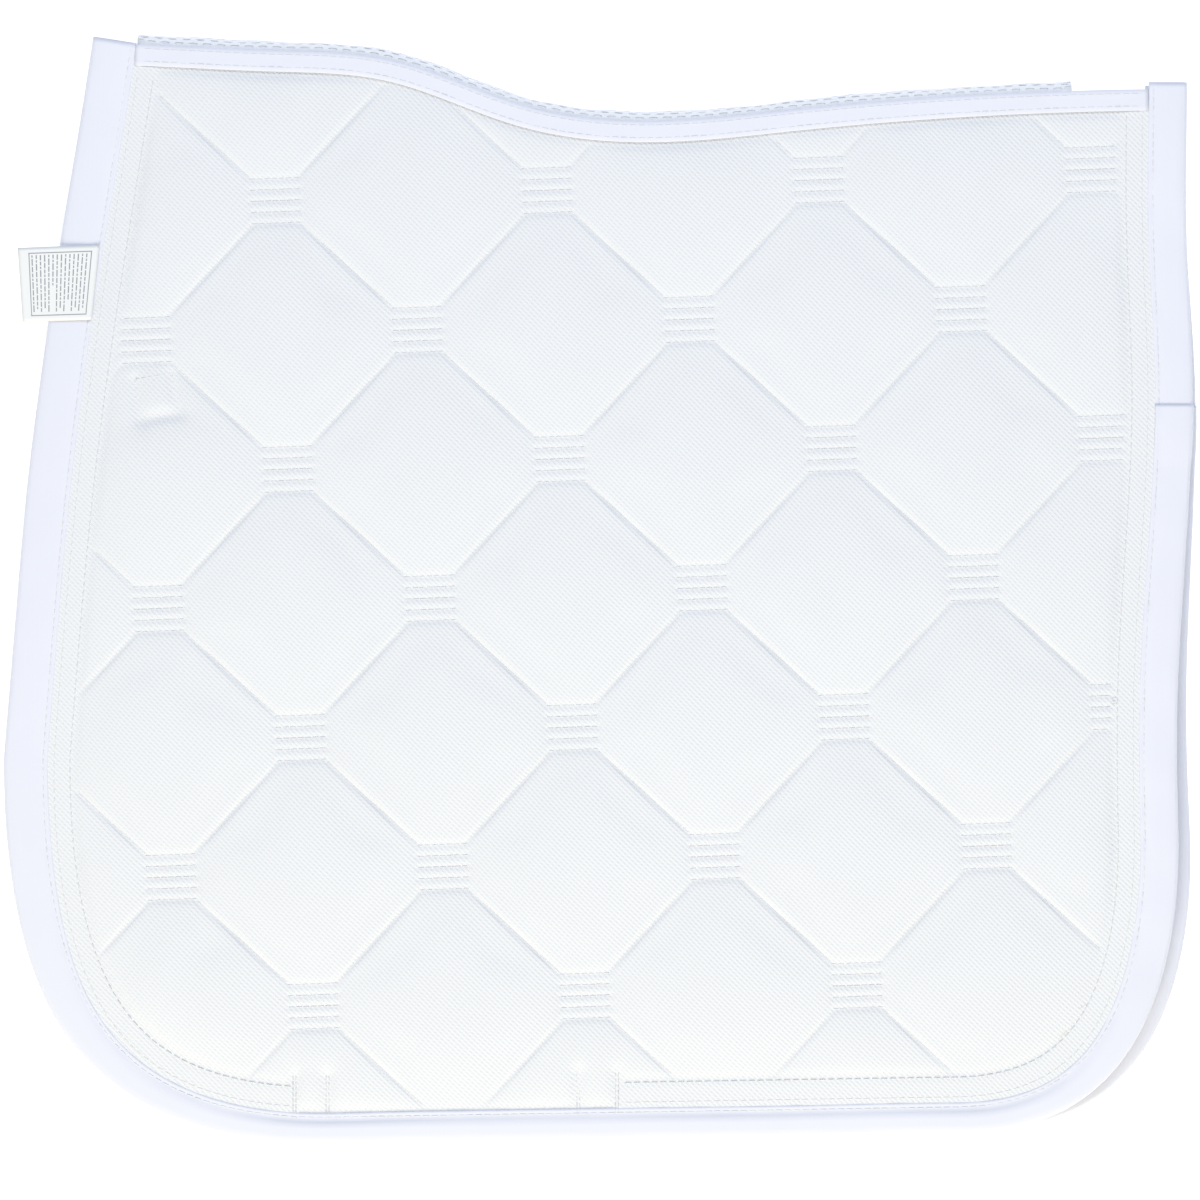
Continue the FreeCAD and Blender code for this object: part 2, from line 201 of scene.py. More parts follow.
RIGHT_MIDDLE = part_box("right_lining")[0].z
LEFT_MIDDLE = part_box("left_lining")[1].z
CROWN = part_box("right_lining")[1].z - RIGHT_MIDDLE      # the most that the cloth may rise
RIGHT = SimpleNamespace(
    name="right", body="right_half", middle=RIGHT_MIDDLE, up=1, lean=0, droop=1.4 * MM
)
LEFT = SimpleNamespace(
    name="left", body="left_half", middle=LEFT_MIDDLE, up=-1, lean=0.02, droop=1.6 * MM
)
LEAN_LINE = 274 * MM                            # the Y at which the lower half doesn't lean
HANG_REACH, HANG_TOP, HANG_FADE = 65 * MM, 12 * MM, 80 * MM    # where the edges droop
FLOOR_GAP = 0.2 * MM


def placed(half, xy, h, inside=None):
    """Points of the frame, from points in plan and heights over the half's mid-plane."""
    xy = np.asarray(xy, float).reshape(-1, 2)
    h = np.broadcast_to(np.asarray(h, float).reshape(-1), len(xy))
    if inside is None:
        inside = from_edge(xy)[0]
    below_spine = spine_y(xy[:, 0]) - xy[:, 1]
    hang = (1 - ease(inside / HANG_REACH)) * ease((below_spine - HANG_TOP) / HANG_FADE)
    x = xy[:, 0] + half.lean * (LEAN_LINE - xy[:, 1])
    z = half.middle + half.up * h - half.droop * hang
    return np.stack([x, xy[:, 1], np.maximum(z, FLOOR_GAP)], 1)


def mesh_piece(name, points, faces, material, smooth=True):
    """A mesh object with a material."""
    mesh = bpy.data.meshes.new(name)
    faces = [tuple(int(i) for i in face) for face in faces]
    mesh.from_pydata(np.asarray(points).tolist(), [], faces)
    mesh.polygons.foreach_set("use_smooth", [smooth] * len(mesh.polygons))
    mesh.materials.append(material)
    mesh.validate()
    piece = bpy.data.objects.new(name, mesh)
    bpy.context.collection.objects.link(piece)
    return piece


def strip_faces(rows, columns, closed=False, capped=False):
    """Quads between neighbouring rows of points, each row going once across or around."""
    grid = np.arange(rows * columns).reshape(rows, columns)
    beside = np.roll(grid, -1, 1) if closed else grid[:, 1:]
    here = grid if closed else grid[:, :-1]
    quads = np.stack([here[:-1], beside[:-1], beside[1:], here[1:]], -1).reshape(-1, 4).tolist()
    if capped:
        quads += [grid[0, ::-1].tolist(), grid[-1].tolist()]
    return quads


def swept(name, half, path, u, profile, material):
    """A closed profile of (v, h) pairs, one row for each run in `u`, swept along a line."""
    profile = np.asarray(profile, float)
    rows, columns = profile.shape[:2]
    xy = on_path(path, np.repeat(u, columns), profile[..., 0].ravel())
    points = placed(half, xy, profile[..., 1].ravel())
    return mesh_piece(name, points, strip_faces(rows, columns, True, True), material)


def go_with(piece, half, slot, *nodes):
    """The piece rides on its half or body and stands for CAD nodes. `slot` is not used."""
    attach(piece, half.body if hasattr(half, "body") else half)
    if nodes:
        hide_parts(*nodes)
    return piece


# ---------------------------------------------------------------- materials


def cloth(name, colour, roughness, sheen, weave, depth=0.0, contrast=0.0, mottle=0.01):
    """A fabric with a woven pattern: threads across the first (direction, pitch) of `weave`,
    broken up along their length by the second."""
    material = bpy.data.materials.new(name)
    material.use_nodes = True
    nodes, links = material.node_tree.nodes, material.node_tree.links
    shader = nodes["Principled BSDF"]
    for socket, value in (
        ("Roughness", roughness), ("Specular IOR Level", 0.25),
        ("Sheen Weight", sheen), ("Sheen Roughness", 0.5),
    ):
        shader.inputs[socket].default_value = value
    place = nodes.new("ShaderNodeTexCoord")

    def math_node(kind, *values):
        """The output of a math node fed by numbers or other outputs."""
        node = nodes.new("ShaderNodeMath")
        node.operation = kind
        for i, value in enumerate(values):
            if isinstance(value, (int, float)):
                node.inputs[i].default_value = value
            else:
                links.new(value, node.inputs[i])
        return node.outputs[0]

    waves = []
    for turn, pitch in weave:
        across = nodes.new("ShaderNodeVectorMath")
        across.operation = "DOT_PRODUCT"
        links.new(place.outputs["Object"], across.inputs[0])
        tilt = math.radians(turn)
        # The third share carries the pattern on to upright faces.
        across.inputs[1].default_value = (math.cos(tilt), math.sin(tilt), 0.35)
        phase = math_node("MULTIPLY", across.outputs["Value"], 2 * math.pi / (pitch * MM))
        waves.append(math_node("SINE", phase))
    broken = math_node("ADD", math_node("MULTIPLY", waves[1], 0.3), 0.7)
    thread = math_node("MULTIPLY", waves[0], broken)
    noise = nodes.new("ShaderNodeTexNoise")
    links.new(place.outputs["Object"], noise.inputs["Vector"])
    noise.inputs["Scale"].default_value = 22.0
    noise.inputs["Detail"].default_value = 4.0
    shade = math_node("MULTIPLY", thread, contrast)
    patch = math_node("MULTIPLY", math_node("SUBTRACT", noise.outputs[0], 0.5), mottle * 2)
    total = math_node("ADD", math_node("ADD", shade, patch), 1.0 - contrast)
    tint = nodes.new("ShaderNodeVectorMath")
    tint.operation = "SCALE"
    tint.inputs[0].default_value = colour
    links.new(total, tint.inputs["Scale"])
    links.new(tint.outputs[0], shader.inputs["Base Color"])
    bump = nodes.new("ShaderNodeBump")
    bump.inputs["Strength"].default_value = 1.0
    bump.inputs["Distance"].default_value = depth * MM
    links.new(thread, bump.inputs["Height"])
    links.new(bump.outputs[0], shader.inputs["Normal"])
    return material


LINING = cloth(
    "lining_mesh", (0.719, 0.732, 0.763), 0.85, 0.1, ((45, 2.0), (-38, 2.7)), 0.105, 0.026, 0.012
)
COTTON = cloth("cover_cotton", (0.77, 0.78, 0.79), 0.9, 0.1, ((60, 0.9), (-30, 2.2)), 0.06, 0.02)
FILL = cloth("wadding", (0.80, 0.80, 0.78), 1.0, 0.2, ((10, 4.0), (95, 5.0)), 0.2, 0.02, 0.04)
SATIN = cloth("satin", (0.700, 0.712, 0.795), 0.45, 0.1, ((0, 0.7), (90, 0.7)), 0.02, 0.01, 0.02)
THREAD = cloth("thread", (0.72, 0.725, 0.735), 0.6, 0.0, ((30, 0.5), (-30, 0.5)), 0.0, 0.02)
# The quilting thread is real, but its darker colour is painted shade that stands in for the shadow
# in the narrow sewn grooves.
SEAM_SHADE_THREAD = cloth(
    "thread_with_painted_shade", (0.65, 0.655, 0.685), 0.9, 0.0, ((30, 0.5), (-30, 0.5)), 0.0, 0.02
)
BRAID = cloth("braid", (0.77, 0.77, 0.78), 0.5, 0.1, ((45, 1.2), (-45, 1.2)), 0.1, 0.03)
WEBBING = cloth("webbing", (0.76, 0.77, 0.78), 0.7, 0.1, ((0, 1.5), (90, 1.0)), 0.15, 0.03)
HOOK = cloth("hook_tape", (0.74, 0.75, 0.76), 0.6, 0.0, ((0, 1.4), (90, 1.6)), 0.4, 0.06)
PILE = cloth("loop_tape", (0.78, 0.78, 0.78), 0.95, 0.5, ((20, 0.8), (110, 0.9)), 0.3, 0.04)
NET = cloth("open_mesh", (0.84, 0.85, 0.88), 0.55, 0.1, ((0, 0.8), (90, 0.6)), 0.03, 0.02)
LABEL = cloth("label_satin", (0.76, 0.77, 0.775), 0.5, 0.0, ((0, 0.5), (90, 0.5)), 0.01, 0.01)
INK = cloth("label_print", (0.33, 0.34, 0.38), 0.7, 0.0, ((0, 0.9), (90, 0.9)), 0.01, 0.1)

# ---------------------------------------------------------------- the quilting

ORIGIN = np.array((55.6, 0.5)) * MM             # the middle of one sewn box
DOWN, UP = np.array((77.5, -70.3)) * MM, np.array((70.55, 75.97)) * MM   # to the next boxes
LATTICE = np.stack([DOWN, UP])
CELL_AREA = abs(DOWN[0] * UP[1] - DOWN[1] * UP[0])
PITCHES = CELL_AREA / np.linalg.norm(UP), CELL_AREA / np.linalg.norm(DOWN)   # of the seams
ROW, COLUMN = np.linalg.norm(DOWN + UP), np.linalg.norm(DOWN - UP)           # of the boxes
BOX_LONG, BOX_HIGH = 13.95 * MM, 12.2 * MM      # half the size of a sewn box
BOX_ROWS = 5
# How the fill falls: how far the sharp part and the gentle part reach, and the sharp part's share.
SEAM_FALL, BAND_FALL, BOX_FALL = (1.1, 48.0, 0.25), (1.6, 16.0, 0.42), (1.2, 7.0, 0.5)
PRESSED_FALL, RIB_FALL = (1.0, 6.0, 0.6), (0.7, 2.2, 0.55)
# Heights of the cloth on the seams, on the flat band and in the boxes, and of the boxes' ribs.
SEAM_H, BAND_H, BOX_H, RIB_H = 1.0 * MM, 1.5 * MM, 0.7 * MM, 0.8 * MM
LINING_FULLNESS, COVER_FULLNESS = 3.3 * MM, 3.1 * MM


def to_lattice(xy):
    """Plan to lattice: seams run where either number is whole, and boxes are where both are."""
    return (xy - ORIGIN) @ np.linalg.inv(LATTICE)


def creased(distance, near, far, share):
    """From 0 at a seam to 1 far from it, sharp at first and then gently."""
    d = np.maximum(distance, 0)
    return share * (1 - np.exp(-d / (near * MM))) + (1 - share) * (1 - np.exp(-d / (far * MM)))


def from_box(off):
    """From offsets in the lattice to a box: distances outside it, and the place up it, -1 to 1."""
    across, along = (off[:, 0] + off[:, 1]) / 2 * ROW, (off[:, 0] - off[:, 1]) / 2 * COLUMN
    outside = np.hypot(np.maximum(abs(across) - BOX_LONG, 0), np.maximum(abs(along) - BOX_HIGH, 0))
    return outside, along / BOX_HIGH


def nearest_box(xy):
    """The same, for points in plan and the box nearest to each."""
    lattice = to_lattice(xy)
    return from_box(lattice - np.round(lattice))


FULL = float(np.prod([creased(0.5 * pitch, *SEAM_FALL) for pitch in PITCHES])) ** -2


def quilted(xy, inside):
    """How high the fill stands, from 0 on a seam to 1 in the middle of a cell."""
    lattice = to_lattice(xy)
    part = lattice - np.floor(lattice)
    rise = creased(inside, *BAND_FALL) * FULL
    for i, pitch in enumerate(PITCHES):
        rise = rise * creased(part[:, i] * pitch, *SEAM_FALL)
        rise = rise * creased((1 - part[:, i]) * pitch, *SEAM_FALL)
    for s in (0, 1):
        for t in (0, 1):
            rise = rise * creased(from_box(part - (s, t))[0], *BOX_FALL)
    return rise


def rectangle(x, y, long, high, turn=0.0):
    """The corners of a rectangle in plan, from its middle, in millimetres."""
    tilt = math.radians(turn)
    basis = np.array([[math.cos(tilt), math.sin(tilt)], [-math.sin(tilt), math.cos(tilt)]])
    half = np.array([(-1, -1), (1, -1), (1, 1), (-1, 1)]) * (long / 2, high / 2)
    return (half @ basis + (x, y)) * MM


WAVE_H = 0.16 * MM                              # of small irregular waves in the cloth
PRESSED_HALF = 1.7 * MM                         # half the width of a valley sewn into the fill
LOOP_ENDS = rectangle(-157.5, -277.5, 18, 25), rectangle(-1.3, -274.5, 21, 23)
STRAP_BOX = rectangle(-241.5, 105, 21, 22, 10)
PRESSED = [
    (corners[i], corners[j])
    for corners, pairs in (
        (LOOP_ENDS[0], ((1, 2), (3, 0))), (LOOP_ENDS[1], ((1, 2), (3, 0))),
        (STRAP_BOX, ((0, 1), (1, 2), (3, 0))),
    )
    for i, j in pairs
]


def from_line(xy, start, end):
    """Distances in plan from a straight line between two points."""
    along = end - start
    part = np.clip((xy - start) @ along / (along @ along), 0, 1)
    return np.linalg.norm(xy - start - part[:, None] * along, axis=1)


def sheet_height(xy, inside, fullness):
    """The height of the quilted cloth, flat outside the band's inner line."""
    rise = quilted(xy, inside)
    for start, end in PRESSED:
        rise = rise * creased(from_line(xy, start, end) - PRESSED_HALF, *PRESSED_FALL)
    level = np.where(inside > 0, SEAM_H, SEAM_H + (BAND_H - SEAM_H) * ease(-inside / (3 * MM)))
    outside, place = nearest_box(xy)
    in_box = (1 - ease(outside / (1.5 * MM))) * (inside > 0)
    between_rows = 1 - abs((place + 1) * (BOX_ROWS - 1) / 2 % 1 - 0.5) * 2
    rib = creased(between_rows * BOX_HIGH / (BOX_ROWS - 1), *RIB_FALL) * (abs(place) < 1.02)
    level = level + in_box * (BOX_H - SEAM_H + RIB_H * rib)
    x, y = xy[:, 0], xy[:, 1]
    drift = 1.7 * np.sin(y / (61 * MM))
    waves = np.sin(x / (7.3 * MM) + drift) * np.sin(y / (43 * MM) + x / (90 * MM))
    return level + (fullness + WAVE_H * waves) * rise


def zone(xy, bands, gap_width):
    """Distance inside the band's inner line or the spine tape, whichever is nearer.

    With it go the distance in from the edge and the way in.
    """
    inside, normal, share = from_edge(xy)
    band = widths(share, *bands)
    gap = open_stretch(xy[:, 0], share)
    band = band + gap * (gap_width * MM - band)
    below_tape = spine_y(xy[:, 0]) - xy[:, 1] - TAPE_REACH
    by_edge = inside - band
    nearer_edge = by_edge < below_tape
    way = np.where(nearer_edge[:, None], normal, np.array([0.0, -1.0]))
    return np.where(nearer_edge, by_edge, below_tape), inside, way


GRID_REACH, PAD_REACH = (0.34, 0.32), (0.335, 0.31)     # from the origin, in X and Y


def grid_quads(size):
    """Quads over a grid of points, numbered along its second axis first."""
    grid = np.arange(size[0] * size[1]).reshape(size)
    corners = [grid[:-1, :-1], grid[1:, :-1], grid[1:, 1:], grid[:-1, 1:]]
    return np.stack(corners, -1).reshape(-1, 4)


def lattice_grid(count, bands, gap_width, margin, spine_margin, gather=0.0):
    """Grid points over the pad, gathered towards the seams, with their quads and zones.

    The sheet is cut at `margin` in from the edge and at `spine_margin` below the spine line.
    """
    corners = np.array([(x, y) for x in (-1, 1) for y in (-1, 1)]) * GRID_REACH
    low, high = np.floor(to_lattice(corners).min(0)), np.ceil(to_lattice(corners).max(0))
    size = ((high - low) * count).astype(int) + 1
    i, j = np.meshgrid(np.arange(size[0]), np.arange(size[1]), indexing="ij")
    index = np.stack([i, j], -1).reshape(-1, 2)
    even = low + index / count
    xy = ORIGIN + (even - gather * np.sin(2 * np.pi * even) / (2 * np.pi)) @ LATTICE
    near = (abs(xy) < PAD_REACH).all(1)
    zones, inside, way = np.full(len(xy), -1.0), np.full(len(xy), -1.0), np.zeros((len(xy), 2))
    zones[near], inside[near], way[near] = zone(xy[near], bands, gap_width)
    keep = near & (inside > margin) & (spine_y(xy[:, 0]) - xy[:, 1] > spine_margin)
    snap = keep & (abs(zones) < 0.5 * np.linalg.norm(DOWN) / count)
    xy[snap] -= way[snap] * zones[snap, None]
    zones[snap] = 0.0
    quads = grid_quads(size)
    quads = quads[keep[quads].all(1)]
    used = np.unique(quads)
    renumber = np.full(len(xy), -1)
    renumber[used] = np.arange(len(used))
    return SimpleNamespace(
        xy=xy[used], zone=zones[used], inside=inside[used], quads=renumber[quads],
        index=index[used], low=low, size=size,
    )


LINING_BANDS, LINING_GAP = (38, 33, 35), 18.5   # front, bottom and rear, and at the girth loop
COVER_BANDS, COVER_GAP = (38, 44, 35), 44
CLOTH_COUNT = 26                                # points along a cell of the settling cloth
SETTLING_FRAMES, SETTLING_CAP = 16, 0.35 * MM
SEWN_RISE = 0.3                                 # the cloth is pinned where it rises less


def settled_cloth():
    """Lets a coarse sheet, sewn down along its seams, fill and settle. Gives how far it moved."""
    grid = lattice_grid(CLOTH_COUNT, LINING_BANDS, LINING_GAP, 6 * MM, 4 * MM)
    height = sheet_height(grid.xy, grid.zone, 3.0 * MM)
    start = np.column_stack([grid.xy, height])
    piece = mesh_piece("settling_cloth", start, grid.quads, LINING)
    rise = quilted(grid.xy, grid.zone)
    pins = piece.vertex_groups.new(name="sewn")
    for i in np.flatnonzero(rise < SEWN_RISE):
        pins.add([int(i)], 1.0, "REPLACE")
    modifier = piece.modifiers.new("cloth", "CLOTH")
    settings = modifier.settings
    settings.quality = 5
    settings.mass = 0.12
    settings.tension_stiffness = settings.compression_stiffness = 12
    settings.shear_stiffness = 6
    settings.bending_stiffness = 0.02
    settings.vertex_group_mass = "sewn"
    settings.shrink_min = -0.025
    settings.use_pressure = True
    settings.uniform_pressure_force = 2.0
    settings.effector_weights.gravity = 0
    modifier.collision_settings.use_collision = False
    scene = bpy.context.scene
    modifier.point_cache.frame_start, modifier.point_cache.frame_end = 1, SETTLING_FRAMES
    for number in range(1, SETTLING_FRAMES + 1):
        scene.frame_set(number)
    evaluated = piece.evaluated_get(bpy.context.evaluated_depsgraph_get())
    settled = np.array([v.co for v in evaluated.data.vertices])
    moved = settled - start
    scene.frame_set(1)
    bpy.data.objects.remove(piece)
    length = np.linalg.norm(moved, axis=1, keepdims=True)
    moved *= np.where(length > SETTLING_CAP, SETTLING_CAP / np.maximum(length, 1e-12), 1.0)
    field = np.zeros((*grid.size, 3))
    field[grid.index[:, 0], grid.index[:, 1]] = moved * ease((rise - 0.2) / 0.6)[:, None]
    for _ in range(2):
        for axis in (0, 1):
            field = (np.roll(field, 1, axis) + 2 * field + np.roll(field, -1, axis)) / 4
    return SimpleNamespace(field=field, low=grid.low)


SETTLED = settled_cloth()


def settled_at(xy):
    """How far the settled cloth moved at points in plan."""
    if SETTLED is None:
        return np.zeros((len(xy), 3))
    at = (to_lattice(xy) - SETTLED.low) * CLOTH_COUNT
    cell = np.clip(np.floor(at).astype(int), 0, np.array(SETTLED.field.shape[:2]) - 2)
    part = np.clip(at - cell, 0, 1)
    total = np.zeros((len(xy), 3))
    for i in (0, 1):
        for j in (0, 1):
            share = abs(1 - i - part[:, 0]) * abs(1 - j - part[:, 1])
            total += SETTLED.field[cell[:, 0] + i, cell[:, 1] + j] * share[:, None]
    return total


def quilted_sheet(name, half, side, grid, fullness, material):
    """One face of a half: its lining with `side` 1, or its cover with `side` -1."""
    moved = settled_at(grid.xy)
    height = sheet_height(grid.xy, grid.zone, fullness) + moved[:, 2]
    points = placed(half, grid.xy + moved[:, :2], side * np.minimum(height, CROWN), grid.inside)
    quads = grid.quads if half.up * side > 0 else grid.quads[:, ::-1]
    return mesh_piece(name, points, quads, material)


def make_quilting(half, fine, coarse, core):
    """The lining and cover of one half, with the wadding closed in between them."""
    lining = quilted_sheet(f"{half.name}_lining_cloth", half, 1, fine, LINING_FULLNESS, LINING)
    cover = quilted_sheet(f"{half.name}_cover_cloth", half, -1, coarse, COVER_FULLNESS, COTTON)
    gap, reach = 0.45 * MM, 6.5 * MM    # under the lowest cloth within reach
    turns = np.arange(8) * math.pi / 4
    ring = np.stack([np.cos(turns), np.sin(turns)], 1)
    steps = np.concatenate([np.zeros((1, 2)), reach / 2 * ring, reach * ring])
    above, below = (
        np.min([sheet_height(core.xy + step, core.zone, fullness) for step in steps], 0) - gap
        for fullness in (LINING_FULLNESS, COVER_FULLNESS)
    )
    above, below = np.minimum(above, CROWN - gap), -np.minimum(below, CROWN - gap)
    count = len(core.xy)
    points = np.concatenate([placed(half, core.xy, h, core.inside) for h in (above, below)])
    edges = np.concatenate([core.quads[:, [i, (i + 1) % 4]] for i in range(4)])
    known = {tuple(edge) for edge in edges.tolist()}
    rim = [edge for edge in known if (edge[1], edge[0]) not in known]
    walls = [(b, a, a + count, b + count) for a, b in sorted(rim)]
    faces = core.quads.tolist() + (core.quads[:, ::-1] + count).tolist() + walls
    if half.up < 0:
        faces = [face[::-1] for face in faces]
    fill = mesh_piece(f"{half.name}_fill", points, faces, FILL)
    go_with(lining, half, "lining_mesh", f"{half.name}_lining")
    go_with(cover, half, "cover_cotton", f"{half.name}_outer_cover")
    go_with(fill, half, "wadding", f"{half.name}_wadding")
    return lining, cover


# ---------------------------------------------------------------- binding, tape and braid


TAPE_THICKNESS = 0.45 * MM
LAP = 224 * MM, 175.5 * MM                      # its ends, down from the top of the rear edge


def wander(u, *pitches):
    """A gentle irregular wave along a run, between about -1 and 1."""
    return sum(np.sin(u / (pitch * MM) + 1.3 * i) for i, pitch in enumerate(pitches)) / len(pitches)


def binding_profile(u, swell=0.0):
    """The folded tape across, from its inner edge on the lining round to that on the cover."""
    share = edge_share(u)
    sides = (widths(share, 24, 17.5, 21) + 0.35 * MM * wander(u, 31, 67), 1), (
        widths(share, 22, 15, 19), -1,
    )
    pucker = (0.14 + 0.16 * share[:, 2]) * MM * wander(u, 2.9, 4.3, 9.7)
    fold = (0.18 + 0.3 * share[:, 2]) * MM * wander(u, 7, 11, 19, 47)
    sway = 0.3 * MM * wander(u, 23, 53)
    outer, inner = ([], []), ([], [])
    for face, (width, side) in enumerate(sides):
        stations = [
            (0, 0.0), (0.25 * MM, 0.9), (1.0 * MM, 1.85),
            (0.12 * width, 2.28), (0.3 * width, 2.38), (0.5 * width, 2.4), (0.7 * width, 2.36),
            (width - 5 * MM, 2.15), (width - 3.4 * MM, 1.95), (width - 2.5 * MM, 1.65),
            (width - 1.4 * MM, 1.95), (width - 0.4 * MM, 1.85), (width, 1.45),
        ]
        for place, (v, h) in enumerate(stations):
            lift = fold if 3 <= place <= 7 else pucker if 8 <= place <= 11 else 0
            v = v + sway - swell * (place < 3)
            h = h * MM + lift + swell * (h > 0)
            outer[face].append((v, side * h))
            inner[face].append(
                (v + 0.5 * MM * (place < 3), side * np.maximum(h - TAPE_THICKNESS, 0))
            )
    ring = outer[0][::-1] + outer[1][1:] + inner[1][:0:-1] + inner[0][1:]
    return np.stack([np.stack(np.broadcast_arrays(v, h), -1) for v, h in ring], 1)


def make_binding(half):
    """The satin tape folded over the three open edges, with its ends lapped at the rear."""
    piece = swept(f"{half.name}_binding", half, EDGE, EDGE.u, binding_profile(EDGE.u), SATIN)
    go_with(piece, half, "satin", f"{half.name}_edge_binding")
    u = EDGE.u[-1] - np.linspace(*LAP, 26)
    swell = (0.85 * ease((u - u[0]) / (34 * MM)) - 0.3) * MM
    lap = swept(f"{half.name}_binding_lap", half, EDGE, u, binding_profile(u, swell), SATIN)
    go_with(lap, half, "satin")
    return [piece, lap]


def flat_profile(u, near, far, low, high):
    """A flat tape across, with rounded edges."""
    edge, columns = 0.25 * MM, 6
    ring = [(near, low + edge), (near, high - edge)]
    ring += [(v, high) for v in np.linspace(near + edge, far - edge, columns)]
    ring += [(far, high - edge), (far, low + edge)]
    ring += [(v, low) for v in np.linspace(near, far, columns)[-2:0:-1]]
    return np.repeat(np.array(ring)[None], len(u), 0)


def make_spine_tape(half):
    """The tape along the spine, on the lining's side."""
    u = TAPE_PATH.u
    profile = flat_profile(u, -0.4 * MM, 11.3 * MM, 1.4 * MM, 2.35 * MM)
    pucker = 0.12 * MM * wander(u, 3.1, 5.3)
    profile[:, 4:7, 1] += pucker[:, None]
    piece = swept(f"{half.name}_tape", half, TAPE_PATH, u, profile, SATIN)
    return [go_with(piece, half, "satin", f"{half.name}_spine_tape")]


def make_braid(half, name, u):
    """A flat plaited braid on the cover's side, between the binding and the quilting."""
    share = edge_share(u)
    near, far = widths(share, 24.4, 16.9, 21.4), widths(share, 37.6, 29.6, 34.6)
    columns, plait_length = 12, 4.2 * MM
    ring = []
    for k in range(columns):
        part = k / (columns - 1)
        plait = abs(((u / plait_length + 2.2 * abs(part - 0.5)) % 1) - 0.5) * 2
        edge = k in (0, columns - 1)
        ring.append((near + part * (far - near), -(1.95 + 0.55 * plait + 0.3 * edge) * MM))
    ring += [(far, -1.5 * MM), (near, -1.5 * MM)]
    profile = np.stack([np.stack(np.broadcast_arrays(v, h), -1) for v, h in ring], 1)
    piece = swept(f"{half.name}_{name}_plait", half, EDGE, u, profile, BRAID)
    return go_with(piece, half, "braid", f"{half.name}_{name}_braid")


def band_runs():
    """The runs along the edge in front of the girth loop and behind it, clear of the spine tape."""
    below_spine = spine_y(EDGE.xy[:, 0]) - EDGE.xy[:, 1] > BAND_START
    front, rear = EDGE.u[below_spine][[0, -1]]
    bottom = (EDGE.share[:, 1] > 0.3) & (EDGE.xy[:, 1] < -0.28)
    loop = np.interp((LOOP_START, LOOP_END), EDGE.xy[bottom, 0], EDGE.u[bottom])
    return (front, loop[0]), (loop[1], rear)


BAND_RUNS = band_runs()


# ---------------------------------------------------------------- webbing


def webbing_strip(name, half, origin, turn, stations, width, thickness, material):
    """A strip along X from an origin in plan. Stations are (along, height on the cover's side)."""
    along, height = np.array(stations).T
    count = max(int((along[-1] - along[0]) / (1.5 * MM)), 8)
    at = np.linspace(along[0], along[-1], count)
    base = np.interp(at, along, height)
    base = np.convolve(np.pad(base, 2, mode="edge"), np.ones(5) / 5, mode="valid")
    tilt = math.radians(turn)
    forward = np.array([math.cos(tilt), math.sin(tilt)])
    side = np.array([-forward[1], forward[0]])
    across = np.array([-1, -0.96, -0.6, -0.2, 0.2, 0.6, 0.96, 1]) * width / 2
    crown = np.array([0.3, 0.92, 1, 1, 1, 1, 0.92, 0.3]) * thickness
    rows = []
    for i, (a, low) in enumerate(zip(at, base)):
        end = 0.35 * thickness * (i in (0, count - 1))
        rib = 0.06 * MM * (i % 2)
        top = [(a, v, low + c - end + rib) for v, c in zip(across, crown)]
        under = [(a, v, low) for v in across[::-1]]
        rows.append(top + under)
    rows = np.array(rows)
    xy = origin + rows[..., 0].reshape(-1, 1) * forward + rows[..., 1].reshape(-1, 1) * side
    points = placed(half, xy, -rows[..., 2].ravel())
    return mesh_piece(name, points, strip_faces(count, 16, True, True), material)


def make_loop(half):
    """The girth loop, sewn down at both ends and lifted between them."""
    reach = [(0, 1.6), (19, 1.6), (39, 6.6), (140, 6.6), (160, 1.6), (179, 1.6)]
    stations = [(along * MM, height * MM) for along, height in reach]
    origin = np.array([LOOP_START, LOOP_Y])
    piece = webbing_strip(
        f"{half.name}_loop_webbing", half, origin, 0, stations, 22 * MM, 1.4 * MM, WEBBING
    )
    return go_with(piece, half, "webbing", f"{half.name}_girth_loop")


def make_strap(half):
    """The billet strap with its patches of loop and hook tape."""
    origin, high = np.array([-252, 103]) * MM, 4.75 * MM
    pieces = []
    for name, start, length, width, low, thick, material, slot, node in (
        ("strap_webbing", 0, 150, 22, 0.0, 1.4, WEBBING, "webbing", "billet_strap"),
        ("loop_pile", 30, 62, 18, 1.42, 1.1, PILE, "loop_tape", "loop_patch"),
        ("hook_pile", 106, 38, 18, 1.42, 1.1, HOOK, "hook_tape", "hook_patch"),
    ):
        level = high + low * MM
        stations = [(start * MM, level), ((start + length) * MM, level)]
        piece = webbing_strip(
            f"{half.name}_{name}", half, origin, 10, stations, width * MM, thick * MM, material
        )
        pieces.append(go_with(piece, half, slot, f"{half.name}_{node}"))
    return pieces


# ---------------------------------------------------------------- stitching

STITCH_SIDES, STITCH_RADIUS = 5, 0.24 * MM


def stitched(xy, pitch=4.8 * MM, length=3.5 * MM):
    """Stitches along a line of points in plan, as rows of (start x, y, end x, y)."""
    run = np.concatenate([[0], np.cumsum(np.linalg.norm(np.diff(xy, axis=0), axis=1))])
    count = max(int(run[-1] / pitch), 1)
    step = run[-1] / count
    length = min(length, 0.9 * step)
    starts = (np.arange(count) + 0.5) * step - length / 2
    ends = starts + length
    return np.column_stack([np.interp(at, run, xy[:, i]) for at in (starts, ends) for i in (0, 1)])


